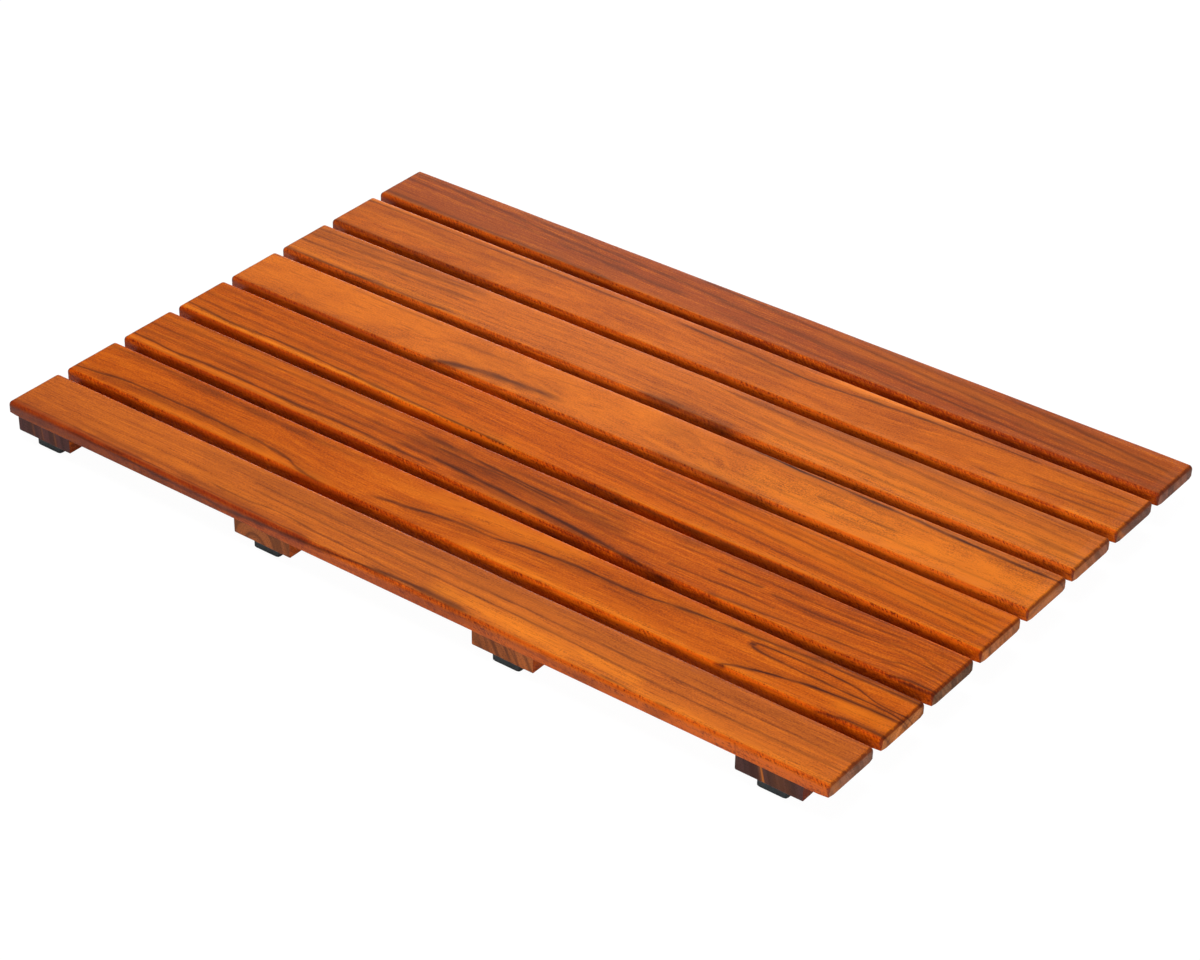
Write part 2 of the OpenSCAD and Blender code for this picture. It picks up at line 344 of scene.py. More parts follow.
        (0.60, 2.6, [(-394, 53), (-250, 53.5), (-150, 53)]),
        (0.75, 3.5, [(90, 50), (160, 52), (240, 54)]),
        (0.80, 2.8, [(330, 2.5), (365, 3), (394, 3.2)]),
        (0.25, 4.0, [(20, 2), (140, 1), (260, 2)]),
    ],
}, {
    "tone": (0.376, 0.064, 0.004),
    "end": (0.235, 0.080, 0.044),
    "pith": (-210, -40),
    "flow": [(-394, 6), (0, -6), (394, -20)],
    "bands": 0.36,
    "veins": [
        (0.55, 1.8, [(-394, 49), (-293, 43), (-193, 34), (-131, 32)]),
        (0.45, 1.6, [(-290, 51), (-190, 44), (-60, 37), (0, 31), (200, 23), (394, 17)]),
        (0.42, 1.6, [(-394, 38), (-243, 30), (-100, 24)]),
        (0.55, 2.0, [(-225, 26), (-170, 25), (-131, 23), (-60, 22)]),
        (0.65, 1.6, [(-394, 8), (-268, 5.5), (-168, 4), (-120, 2)]),
        (0.55, 1.5, [(-90, 52), (25, 46.7), (175, 36.7), (300, 26), (394, 17)]),
        (0.60, 1.5, [(215, 51), (325, 40.5), (394, 31.7)]),
        (0.50, 1.5, [(-60, 33), (0, 30.5), (150, 19), (280, 11), (394, 6)]),
        (0.40, 1.4, [(-60, 18), (100, 8), (200, 2)]),
        (0.35, 1.6, [(60, 54), (180, 46), (330, 33), (394, 24)]),
        (0.18, 8.0, [(-394, 20), (-250, 18), (-120, 17)]),
    ],
    "gold": [
        (0.45, 2.6, [(-394, 1), (-200, 1), (0, 0.5)]),
        (0.22, 7.0, [(40, 42), (180, 38), (394, 30)]),
    ],
}]

# The battens, in the same form as the planks, with x along the batten from its middle and y across it
# from its right edge. Lean is how far veins move across for each millimetre down.
BATTENS = [{
    "tone": (0.200, 0.058, 0.022),
    "end": (0.085, 0.024, 0.020),
    "lean": 0.12,
    "pith": (-170, 20),
    "flow": [(-394, 2), (394, -2)],
    "bands": 0.60,
    "veins": [
        (0.50, 1.6, [(-260, 20), (0, 22), (260, 18)]),
        (0.50, 2.2, [(-260, 46), (0, 47), (260, 45)]),
    ],
    "gold": [
        (0.30, 0.7, [(-260, 17), (260, 18)]),
        (0.22, 0.6, [(-260, 31), (260, 32)]),
        (0.22, 0.6, [(-260, 41), (260, 42)]),
    ],
}, {
    "tone": (0.400, 0.098, 0.020),
    "end": (0.290, 0.074, 0.015),
    "lean": 0.30,
    "pith": (6, -9),
    "flow": [(-394, -3), (0, 3), (394, -1)],
    "bands": 0.55,
    "veins": [(0.60, 1.0, [(-200, 36), (-100, 33), (260, 38)])],
    "gold": [(0.40, 5.0, [(-200, 14), (260, 18)])],
}, {
    "tone": (0.420, 0.100, 0.018),
    "end": (0.320, 0.080, 0.015),
    "lean": 0.35,
    "pith": (120, -70),
    "flow": [(-394, 1), (0, -2), (394, 3)],
    "bands": 0.62,
    "veins": [
        (0.75, 1.0, [(-260, 18), (60, 15), (260, 20)]),
        (0.65, 1.0, [(-260, 26), (60, 25), (260, 24)]),
        (0.70, 1.1, [(-260, 37), (60, 39), (260, 36)]),
        (0.65, 0.9, [(-260, 45), (60, 44), (260, 46)]),
        (0.60, 0.9, [(-260, 52), (60, 51), (260, 53)]),
    ],
    "gold": [(0.40, 4.0, [(-200, 48), (260, 42)])],
}, {
    "tone": (0.150, 0.042, 0.018),
    "end": (0.052, 0.019, 0.016),
    "lean": 0.25,
    "pith": (-240, 40),
    "flow": [(-394, 0), (394, 3)],
    "bands": 0.45,
    "veins": [(0.70, 3.5, [(-260, 43), (0, 41), (260, 44)])],
    "gold": [
        (1.00, 0.5, [(-260, 35.5), (0, 34), (260, 36)]),
        (0.16, 5.0, [(-260, 18), (0, 20), (260, 18)]),
    ],
}]


# ---- node trees

class Graph:
    """Short calls that add nodes to one tree. Any input may be a socket or a plain value."""

    def __init__(self, tree):
        self.tree = tree

    def feed(self, socket, value):
        if isinstance(value, bpy.types.NodeSocket):
            self.tree.links.new(value, socket)
        else:
            socket.default_value = value

    def node(self, kind, inputs=(), **settings):
        made = self.tree.nodes.new(kind)
        for name, value in settings.items():
            setattr(made, name, value)
        for key, value in dict(inputs).items():
            self.feed(made.inputs[key], value)
        return made

    def math(self, operation, *values, clamp=False):
        inputs = dict(enumerate(values))
        return self.node("ShaderNodeMath", inputs, operation=operation, use_clamp=clamp).outputs[0]

    def add(self, a, b):
        return self.math("ADD", a, b)

    def subtract(self, a, b):
        return self.math("SUBTRACT", a, b)

    def multiply(self, a, b):
        return self.math("MULTIPLY", a, b)

    def vector(self, x, y, z):
        return self.node("ShaderNodeCombineXYZ", {0: x, 1: y, 2: z}).outputs[0]

    def split(self, vector):
        return self.node("ShaderNodeSeparateXYZ", {0: vector}).outputs

    def noise(self, vector, waves, seed, detail=2.0, roughness=0.5):
        """Noise with the given waves to a metre along each axis."""
        scaled = self.node("ShaderNodeVectorMath", {0: vector, 1: waves}, operation="MULTIPLY")
        inputs = {"W": seed, "Scale": 1.0, "Detail": detail, "Roughness": roughness}
        inputs["Vector"] = scaled.outputs[0]
        return self.node("ShaderNodeTexNoise", inputs, noise_dimensions="4D").outputs[0]

    def step(self, value, low, high, start=0.0, end=1.0):
        """Smooth change from start to end as the value goes from low to high."""
        inputs = {0: value, 1: low, 2: high, 3: start, 4: end}
        return self.node("ShaderNodeMapRange", inputs, interpolation_type="SMOOTHSTEP").outputs[0]

    def swing(self, noise_value, spread):
        """Noise turned to a smooth swing from -1 to 1 over a spread to each side of its middle."""
        return self.step(noise_value, 0.5 - spread, 0.5 + spread, -1.0, 1.0)

    def mix(self, factor, a, b, blend="MIX"):
        inputs = {0: factor, 6: a, 7: b}
        return self.node("ShaderNodeMix", inputs, data_type="RGBA", blend_type=blend).outputs[2]

    def curve(self, value, points):
        """Smooth curve through points, each from 0 to 1 both ways, in order of their first value."""
        made = self.node("ShaderNodeFloatCurve", {1: value})
        line = made.mapping.curves[0]
        line.points[0].location = points[0]
        line.points[1].location = points[-1]
        for point in points[1:-1]:
            line.points.new(*point)
        made.mapping.update()
        return made.outputs[0]

    def group(self, tree, inputs):
        return self.node("ShaderNodeGroup", inputs, node_tree=tree).outputs


def rgba(colour):
    return (*colour, 1.0)


COLOUR_SOCKETS = ["Tone", "End Tone", "Color"]


def new_group(name, inputs, outputs):
    """Empty node group with the named sockets, its graph, and its input and output sockets."""
    tree = bpy.data.node_groups.new(name, "ShaderNodeTree")
    for direction, titles in (("INPUT", inputs), ("OUTPUT", outputs)):
        for title in titles:
            kind = "NodeSocketColor" if title in COLOUR_SOCKETS else "NodeSocketFloat"
            tree.interface.new_socket(title, in_out=direction, socket_type=kind)
    source = tree.nodes.new("NodeGroupInput").outputs
    target = tree.nodes.new("NodeGroupOutput").inputs
    return tree, Graph(tree), source, target


# How fast a vein fades on its soft and on its crisp side, and how strong that halo is
SOFT_FALL = 0.45
CRISP_FALL = 2.2
HALO_STRENGTH = 0.50


def vein_group():
    """Dark line with a crisp side and a soft side, as at the edge of a growth ring."""
    tree, g, source, target = new_group("vein", ["Distance", "Half Width", "Strength"], ["Mask"])
    share = g.math("DIVIDE", source["Distance"], source["Half Width"])
    core = g.math("EXPONENT", g.multiply(g.multiply(share, share), -1.0))
    soft_side = g.math("EXPONENT", g.multiply(g.math("MAXIMUM", share, 0.0), -SOFT_FALL))
    crisp_side = g.math("EXPONENT", g.multiply(g.math("MINIMUM", share, 0.0), CRISP_FALL))
    halo = g.multiply(g.multiply(soft_side, crisp_side), HALO_STRENGTH)
    mask = g.math("MAXIMUM", core, halo)
    g.feed(target["Mask"], g.multiply(mask, source["Strength"]))
    return tree


# Noise in the wood, in waves to a metre: along the board, across it and up through it
DRIFT_SCALE = (3.5, 14, 14)
WAVE_SCALE = (22, 60, 60)
PATCH_SCALE = (5.5, 34, 34)
HAIR_SCALE = (26, 620, 90)
FIBRE_SCALE = (60, 1900, 1900)
FLECK_SCALE = (620, 760, 760)
PORE_SCALE = (80, 1500, 1500)
CURL_SCALE = (480, 260, 260)
END_DOT_SCALE = (300, 900, 900)

# Noise that follows the growth rings: along the board, from ring to ring, and up through it
WIDE_BAND_SCALE = (0.8, 95, 0)
THIN_LINE_SCALE = (1.6, 130, 0)
GRAIN_SCALE = (9, 330, 60)
FINE_SCALE = (18, 800, 90)

# How far noise bends the growth rings, in metres, and how much curly grain slants
DRIFT_DEPTH = 0.014
WAVE_DEPTH = 0.0016
CURL_SLANT = 0.7

# Share of the curly grain in the streaks, on flat faces and on tilted ones. On tilted faces most of it
# is painted shimmer: the light that curly grain throws back where rounded edges catch it
CURL_SHARE_FLAT = 0.12
CURL_SHARE_TILTED_WITH_SHIMMER = 1.10

# Strength of each mark in the colour of the wood
STREAK_TO_GOLD = 0.42
STREAK_TO_DARK = 0.62
WIDE_BAND_STRENGTH = 0.45
HAIR_STRENGTH = 0.34
PORE_STRENGTH = 0.30
ARRIS_STRENGTH = 0.75
VEIN_UNDER_PALE_GRAIN = 0.80
VEIN_IN_END = 0.7
GOLD_IN_END = 0.5

# Roughness along the fibres, and how much pores and end grain add to it
SMOOTH_FIBRE = 0.42
ROUGH_FIBRE = 0.52
PORE_ROUGHNESS = 0.14
END_ROUGHNESS = 0.20
MOST_ROUGHNESS = 0.9


def teak_group():
    """Oiled teak. The grain runs along local X, and the growth rings curve about the pith."""
    numbers = ["Seed", "Flow", "Pith Across", "Pith Up", "Bands", "Veins", "Gold", "Red"]
    results = ["Color", "Roughness", "Height"]
    tree, g, source, target = new_group("teak", numbers + ["Tone", "End Tone"], results)
    seed = source["Seed"]
    coords = g.node("ShaderNodeTexCoord").outputs
    x, y, z = g.split(coords["Object"])
    normal = g.split(coords["Normal"])
    flowed = g.subtract(y, source["Flow"])
    straight = g.vector(x, flowed, z)

    # Growth rings: distance from the pith, made uneven by slow noise along the board
    drift = g.subtract(g.noise(straight, DRIFT_SCALE, seed), 0.5)
    wave = g.subtract(g.noise(straight, WAVE_SCALE, seed, 1.0), 0.5)
    across = g.subtract(flowed, source["Pith Across"])
    up = g.subtract(z, source["Pith Up"])
    radius = g.math("SQRT", g.add(g.multiply(across, across), g.multiply(up, up)))
    ring = g.add(radius, g.add(g.multiply(drift, DRIFT_DEPTH), g.multiply(wave, WAVE_DEPTH)))
    ringed = g.vector(x, ring, z)

    # Wide soft bands, then the thin dark line where a ring ends
    wide = g.noise(ringed, WIDE_BAND_SCALE, seed)
    ring_noise = g.noise(ringed, THIN_LINE_SCALE, seed, 3.0, 0.6)
    thin = g.step(g.math("ABSOLUTE", g.subtract(ring_noise, 0.5)), 0.0, 0.05, 1.0, 0.0)

    # Textures of all sizes along the grain, from cloudy patches down to single fibres
    patch = g.noise(straight, PATCH_SCALE, seed)
    grain = g.noise(ringed, GRAIN_SCALE, seed, 3.0, 0.6)
    fine = g.noise(ringed, FINE_SCALE, seed, 2.0, 0.6)
    hairs = g.step(g.noise(straight, HAIR_SCALE, seed, 2.0, 0.55), 0.57, 0.68)
    fibre = g.noise(straight, FIBRE_SCALE, seed, 2.0, 0.6)
    flecks = g.noise(straight, FLECK_SCALE, seed, 2.0, 0.6)
    pores = g.step(g.noise(straight, PORE_SCALE, seed, 1.0), 0.58, 0.72)

    # Curly grain across the board, made far stronger on the rounded edges as painted shimmer, where
    # they would catch the light
    tilt = g.math("ABSOLUTE", normal[1])
    slant = g.add(x, g.multiply(g.add(y, z), CURL_SLANT))
    curl = g.noise(g.vector(slant, y, z), CURL_SCALE, seed, 3.0, 0.7)
    curl_and_shimmer_share = g.multiply(
        g.step(tilt, 0.03, 0.45, CURL_SHARE_FLAT, CURL_SHARE_TILTED_WITH_SHIMMER),
        g.step(tilt, 0.75, 0.95, 1.0, 0.50),
    )

    # Streaks from dark to pale: each texture with the spread of its noise and its share
    streak = 0.0
    for texture, spread, share in (
        (grain, 0.18, 0.28),
        (fine, 0.20, 0.42),
        (flecks, 0.16, 0.42),
        (fibre, 0.20, 0.50),
        (patch, 0.22, 0.22),
        (curl, 0.16, curl_and_shimmer_share),
    ):
        streak = g.add(streak, g.multiply(g.swing(texture, spread), share))

    # Colour of the long grain: pale streaks, then dark ones, bands, hairs and pores
    light = g.multiply(g.math("MAXIMUM", streak, 0.0), STREAK_TO_GOLD)
    dark = g.multiply(g.math("MAXIMUM", g.multiply(streak, -1.0), 0.0), STREAK_TO_DARK)
    # The gold from the tables is partly painted light, the glow along the front edges
    gold = g.math("MAXIMUM", source["Gold"], light, clamp=True)
    colour = g.mix(gold, source["Tone"], rgba(TEAK_GOLD))
    wide_share = g.multiply(g.step(wide, 0.42, 0.66), source["Bands"])
    thin_share = g.multiply(g.multiply(thin, g.step(wide, 0.40, 0.60, 0.35, 1.0)), source["Bands"])
    dark = g.math("MAXIMUM", g.add(dark, g.multiply(wide_share, WIDE_BAND_STRENGTH)), thin_share)
    dark = g.math("MAXIMUM", dark, g.multiply(hairs, HAIR_STRENGTH), clamp=True)
    colour = g.mix(dark, colour, rgba(TEAK_DARK))
    colour = g.mix(g.multiply(pores, PORE_STRENGTH), colour, rgba(TEAK_DARK))
    # Red streaks: partly the wood's colour, partly painted shade at the left of the front edges
    colour = g.mix(source["Red"], colour, rgba(TEAK_RED_AND_SHADE))

    # Painted shade on the long edges, and more of it on their rounded shoulders: darker, redder colour
    # where the surface tilts towards the front or back
    turned = g.step(tilt, 0.15, 0.70)
    shoulder = g.multiply(g.step(tilt, 0.10, 0.32), g.step(tilt, 0.60, 0.92, 1.0, 0.0))
    colour = g.mix(turned, colour, rgba(EDGE_SHADE_TINT), "MULTIPLY")
    colour = g.mix(shoulder, colour, rgba(SHOULDER_SHADE_TINT), "MULTIPLY")

    # Dark red arris round the end grain, ragged where the growth rings come out. Then the veins,
    # a little weaker where pale grain crosses them
    facing = g.math("ABSOLUTE", normal[0])
    ragged = g.multiply(facing, g.add(g.multiply(grain, 2.4), -0.4))
    colour = g.mix(g.step(ragged, 0.08, 0.50, 0.0, ARRIS_STRENGTH), colour, rgba(ARRIS_RED))
    veined = g.multiply(source["Veins"], g.step(grain, 0.42, 0.68, 1.0, VEIN_UNDER_PALE_GRAIN))
    colour = g.mix(veined, colour, rgba(VEIN_BROWN))

    # End grain: darker and greyer, with open pores as dots
    end = g.step(facing, 0.80, 0.97)
    dots = g.step(g.noise(straight, END_DOT_SCALE, seed, 1.0), 0.50, 0.68)
    end_rings = g.step(ring_noise, 0.38, 0.62, 0.62, 1.30)
    end_shade = g.multiply(end_rings, g.step(dots, 0.0, 1.0, 1.10, 0.62))
    end_colour = g.mix(1.0, source["End Tone"], g.vector(end_shade, end_shade, end_shade), "MULTIPLY")
    end_colour = g.mix(g.multiply(source["Veins"], VEIN_IN_END), end_colour, rgba(VEIN_BROWN))
    end_colour = g.mix(g.multiply(source["Gold"], GOLD_IN_END), end_colour, rgba(TEAK_GOLD))
    colour = g.mix(end, colour, end_colour)

    g.feed(target["Color"], colour)
    rough = g.step(fibre, 0.2, 0.8, SMOOTH_FIBRE, ROUGH_FIBRE)
    rough = g.add(rough, g.multiply(pores, PORE_ROUGHNESS))
    rough = g.add(rough, g.multiply(end, END_ROUGHNESS))
    g.feed(target["Roughness"], g.math("MINIMUM", rough, MOST_ROUGHNESS))
    # Relief: fibres stand up, and pores and the dots of the end grain go down
    relief = g.subtract(g.multiply(fine, 0.5), g.multiply(pores, 0.6))
    relief = g.add(relief, g.multiply(fibre, 0.4))
    g.feed(target["Height"], g.subtract(relief, g.multiply(dots, g.multiply(end, 0.7))))
    return tree


# ---- materials

# How far the veins of a plank move across it for each millimetre down
PLANK_LEAN = -0.7

# How much the oiled wood mirrors, and how deep the relief of each material is
WOOD_SPECULAR = 0.22
OIL_COAT = 0.12
OIL_ROUGHNESS = 0.25
WOOD_RELIEF = 0.05 * MM
RUBBER_RELIEF = 0.03 * MM
STEEL_RELIEF = 0.015 * MM

# Curves hold x over this span of a board, and y over a span a little wider than the board
CURVE_HALF_LENGTH_MM = 394.0
CURVE_Y_LOW_MM = -10.0
CURVE_Y_SPAN_MM = 80.0
FLOW_SPAN_MM = 60.0

# Length over which a line of each kind fades in and out, and how much wider than in the tables
# every line is drawn
FADE_MM = {"veins": 28.0, "tips": 4.0, "gold": 28.0, "red": 28.0}
LINE_WIDEN = 1.55

# Unevenness of the lines: noise that shakes them across, and noise for their strength and width
SHAKE_SCALE = (42, 30, 30)
SHAKE_MM = 1.8
TREMBLE_SCALE = (30, 90, 0)
SWELL_SCALE = (38, 70, 2)


def curve_x(x_mm):
    return (x_mm + CURVE_HALF_LENGTH_MM) / (2 * CURVE_HALF_LENGTH_MM)


def fade_points(points, strength, fade_mm, half_length_mm):
    """Strength along a line: it fades in and out, unless it runs out of the end of the board."""
    first, last = points[0][0], points[-1][0]
    fade = min(fade_mm, (last - first) / 2.5)
    inner = [(first + fade, strength), (last - fade, strength)]
    before = [(first, strength)] if first <= -half_length_mm else [(first, 0.0)]
    after = [(last, strength)] if last >= half_length_mm else [(last, 0.0)]
    ends_left = [(-CURVE_HALF_LENGTH_MM, 0.0)] if first > -CURVE_HALF_LENGTH_MM else []
    ends_right = [(CURVE_HALF_LENGTH_MM, 0.0)] if last < CURVE_HALF_LENGTH_MM else []
    return ends_left + before + inner + after + ends_right


def streaks(g, vein_tree, x_share, y_mm, tremble, swell, lines, half_length_mm):
    """Mask of the strongest line at a point. Tremble scales the strength, and swell the width."""
    strongest = 0.0
    for fade_mm, strength, half_width, points in lines:
        centre = [(curve_x(x), (y - CURVE_Y_LOW_MM) / CURVE_Y_SPAN_MM) for x, y in points]
        centre_mm = g.add(g.multiply(g.curve(x_share, centre), CURVE_Y_SPAN_MM), CURVE_Y_LOW_MM)
        force = [(curve_x(x), s) for x, s in fade_points(points, strength, fade_mm, half_length_mm)]
        inputs = {
            "Distance": g.subtract(y_mm, centre_mm),
            "Half Width": g.multiply(swell, half_width * LINE_WIDEN),
            "Strength": g.multiply(g.curve(x_share, force), tremble),
        }
        mask = g.group(vein_tree, inputs)[0]
        strongest = g.math("MAXIMUM", strongest, mask)
    return strongest


def new_material(name):
    material = bpy.data.materials.new(name)
    material.use_nodes = True
    material.node_tree.nodes.clear()
    return material, Graph(material.node_tree)


def finish_surface(g, colour, roughness, height, bump_depth, settings):
    """Principled surface from sockets, with constant settings on the shader itself."""
    bump = g.node("ShaderNodeBump", {"Strength": 1.0, "Distance": bump_depth, "Height": height})
    shader = g.node("ShaderNodeBsdfPrincipled")
    g.feed(shader.inputs["Base Color"], colour)
    g.feed(shader.inputs["Roughness"], roughness)
    g.feed(shader.inputs["Normal"], bump.outputs[0])
    for name, value in settings.items():
        shader.inputs[name].default_value = value
    g.node("ShaderNodeOutputMaterial", {0: shader.outputs[0]})


def wood_material(name, seed, spec, width, height, half_length, trees):
    """Teak for one board, with its own lines. The grain runs along the board's local X."""
    material, g = new_material(name)
    coords = g.node("ShaderNodeTexCoord").outputs["Object"]
    x, y, z = g.split(coords)
    x_share = g.node("ShaderNodeMapRange", {
        0: x,
        1: -CURVE_HALF_LENGTH_MM * MM,
        2: CURVE_HALF_LENGTH_MM * MM,
    }).outputs[0]
    # Lines lean through the thickness, so those just outside the front edge show on the front face
    lean_mm = g.multiply(g.subtract(height / 2, z), spec.get("lean", PLANK_LEAN) / MM)
    from_front_mm = g.multiply(g.add(y, width / 2), 1 / MM)
    shake = g.subtract(g.noise(coords, SHAKE_SCALE, seed), 0.5)
    y_mm = g.add(g.add(from_front_mm, lean_mm), g.multiply(shake, SHAKE_MM))
    flat = g.vector(x, y, 1.0)
    tremble = g.step(g.noise(flat, TREMBLE_SCALE, seed), 0.25, 0.60, 0.65, 1.0)
    swell = g.step(g.noise(flat, SWELL_SCALE, seed), 0.30, 0.70, 0.60, 1.55)

    def drawn(*kinds):
        """Mask of the board's lines of the given kinds."""
        lines = [(FADE_MM[kind], *line) for kind in kinds for line in spec.get(kind, [])]
        return streaks(g, trees["vein"], x_share, y_mm, tremble, swell, lines, half_length / MM)

    flow_points = [(curve_x(px), 0.5 + py / FLOW_SPAN_MM) for px, py in spec["flow"]]
    flow = g.multiply(g.subtract(g.curve(x_share, flow_points), 0.5), FLOW_SPAN_MM * MM)
    teak = g.group(trees["teak"], {
        "Seed": seed,
        "Flow": flow,
        "Pith Across": spec["pith"][0] * MM,
        "Pith Up": spec["pith"][1] * MM,
        "Bands": spec["bands"],
        "Veins": drawn("veins", "tips"),
        "Gold": drawn("gold"),
        "Red": drawn("red"),
        "Tone": rgba(spec["tone"]),
        "End Tone": rgba(spec["end"]),
    })
    gloss = spec.get("gloss", 1.0)
    finish_surface(g, teak["Color"], teak["Roughness"], teak["Height"], WOOD_RELIEF, {
        "IOR": 1.45,
        "Specular IOR Level": WOOD_SPECULAR * gloss,
        "Coat Weight": OIL_COAT * gloss,
        "Coat Roughness": OIL_ROUGHNESS,
    })
    return material


def rubber_material():
    """Moulded rubber: near black with cool grey patches of painted sheen, fine pitting, rubbed edges
    and some dust.
    """
    material, g = new_material("moulded rubber")
    coords = g.node("ShaderNodeTexCoord").outputs["Object"]
    # Patches of painted sheen: a cool grey tint, and a little more roughness
    sheen_patches = g.noise(coords, (90, 90, 140), 3.0, 3.0)
    pits = g.noise(coords, (2600, 2600, 2600), 5.0, 2.0)
    dust = g.step(g.noise(coords, (500, 500, 500), 8.0, 3.0), 0.50, 0.75)
    colour = g.mix(g.step(sheen_patches, 0.35, 0.65), rgba(RUBBER_BLACK), rgba(RUBBER_SHEEN_TINT))
    edge = g.step(g.node("ShaderNodeNewGeometry").outputs["Pointiness"], 0.50, 0.56)
    colour = g.mix(g.multiply(edge, 0.5), colour, rgba(RUBBER_RUBBED))
    colour = g.mix(g.multiply(dust, 0.22), colour, rgba(RUBBER_DUST))
    rough = g.add(g.step(sheen_patches, 0.3, 0.7, 0.50, 0.62), g.multiply(dust, 0.15))
    finish_surface(g, colour, rough, pits, RUBBER_RELIEF, {"IOR": 1.5})
    return material


def steel_material():
    """Plain stainless steel: fine turning marks, and smears that are duller and warmer."""
    material, g = new_material("stainless steel")
    coords = g.node("ShaderNodeTexCoord").outputs["Object"]
    smear = g.noise(coords, (350, 350, 350), 2.0, 3.0)
    marks = g.noise(coords, (900, 5200, 5200), 6.0, 2.0, 0.6)
    colour = g.mix(g.step(smear, 0.35, 0.70), rgba(STEEL_BRIGHT), rgba(STEEL_DULL))
    rough = g.add(g.step(smear, 0.3, 0.7, 0.26, 0.42), g.multiply(marks, 0.12))
    finish_surface(g, colour, rough, marks, STEEL_RELIEF, {"Metallic": 1.0})
    return material


# ---- meshes

# Steps over a rounded edge, where the rings of points round a wall lie on its height, and sides of
# a turned cutter
EDGE_STEPS = 6
WALL_RINGS = [0.08, 0.92]
CUTTER_SIDES = 40

# Unevenness of a hand-sanded edge: noise along, across, and apart for the two faces
SWAY_ALONG = 18
SWAY_ACROSS = 40
SWAY_LAYER = 7.3

# Cells over a face, along and across, and how uneven its edges are
PLANK_CELLS = (96, 10)
BATTEN_CELLS = (60, 8)
FOOT_CELLS = (12, 12)
PLANK_SWAY = 0.16
BATTEN_SWAY = 0.25

# Edges sharper than this stay sharp
SHARP_DEGREES = 50


def lines_across(length, radius, inner):
    """Places across a face: close together over its rounded edges and even between them."""
    half = length / 2
    turn = [radius * (1 - math.cos(math.pi / 2 * k / EDGE_STEPS)) for k in range(EDGE_STEPS)]
    middle = [radius - half + (length - 2 * radius) * k / inner for k in range(inner + 1)]
    return [d - half for d in turn] + middle + [half - d for d in reversed(turn)]


def rounded_plan(u, v, half_length, half_width, corner):
    """Point of a rectangle moved to the same rectangle with round corners, and its depth inside."""
    over_u = abs(u) - (half_length - corner)
    over_v = abs(v) - (half_width - corner)
    if over_u <= 0 or over_v <= 0:
        return u, v, min(half_length - abs(u), half_width - abs(v))
    reach = max(over_u, over_v)
    shrink = reach / math.hypot(over_u, over_v)
    new_u = math.copysign(half_length - corner + over_u * shrink, u)
    new_v = math.copysign(half_width - corner + over_v * shrink, v)
    return new_u, new_v, corner - reach


def drop_at(depth, radius):
    """How far a rounded edge lies below the face, at a depth inside the outline."""
    if depth >= radius:
        return 0.0
    return radius - math.sqrt(max(radius ** 2 - (radius - depth) ** 2, 0.0))


def mesh_from(bm, name):
    mesh = bpy.data.meshes.new(name)
    bm.to_mesh(mesh)
    bm.free()
    return mesh


def face_lattice(bm, size, radius, corner, inner, side, sway):
    """Lattice of points for the upper (side 1) or lower (side -1) face with its rounded edge."""
    length, width, height = size
    rows = []
    for u in lines_across(length, radius, inner[0]):
        row = []
        for v in lines_across(width, radius, inner[1]):
            px, py, depth = rounded_plan(u, v, length / 2, width / 2, corner)
            spot = Vector((px * SWAY_ALONG, py * SWAY_ACROSS, side * SWAY_LAYER))
            local = radius * (1 + sway * noise.noise(spot))
            row.append(bm.verts.new((px, py, side * (height / 2 - drop_at(depth, local)))))
        rows.append(row)
    for a, b in zip(rows, rows[1:]):
        for k in range(len(a) - 1):
            quad = (a[k], b[k], b[k + 1], a[k + 1])
            bm.faces.new(quad if side > 0 else quad[::-1])
    return rows


def border_of(rows):
    """The outermost points of a lattice, in order round it."""
    front = [row[0] for row in rows]
    right = rows[-1][1:]
    back = [row[-1] for row in reversed(rows[:-1])]
    left = list(reversed(rows[0][1:-1]))
    return front + right + back + left


def board_mesh(name, size, top_round, bottom_round, corner, inner, sway=0.0):
    """Board about its own centre, with rounded edges and corners."""
    bm = bmesh.new()
    top = border_of(face_lattice(bm, size, top_round, corner, inner, 1, sway))
    bottom = border_of(face_lattice(bm, size, bottom_round, corner, inner, -1, sway))
    rings = [top]
    for share in WALL_RINGS:
        rings.append([bm.verts.new(a.co.lerp(b.co, share)) for a, b in zip(top, bottom)])
    rings.append(bottom)
    for upper, lower in zip(rings, rings[1:]):
        count = len(upper)
        for k in range(count):
            n = (k + 1) % count
            bm.faces.new((upper[k], lower[k], lower[n], upper[n]))
    bm.normal_update()
    return mesh_from(bm, name)


def round_cutter(name, places, profile):
    """Cutter turned about the upright at each place, from (radius, z) points of its outline."""
    angles = [2 * math.pi * k / CUTTER_SIDES for k in range(CUTTER_SIDES)]
    bm = bmesh.new()
    for x, y in places:
        loops = []
        for radius, z in profile:
            points = [(x + radius * math.cos(a), y + radius * math.sin(a), z) for a in angles]
            loops.append([bm.verts.new(point) for point in points])
        for low, high in zip(loops, loops[1:]):
            for k in range(CUTTER_SIDES):
                n = (k + 1) % CUTTER_SIDES
                bm.faces.new((low[k], low[n], high[n], high[k]))
        bm.faces.new(loops[0][::-1])
        bm.faces.new(loops[-1])
    return mesh_from(bm, name)


def new_object(name, data, location, turn=0.0):
    made = bpy.data.objects.new(name, data)
    bpy.context.scene.collection.objects.link(made)
    made.location = location
    made.rotation_euler = (0, 0, turn)
    return made


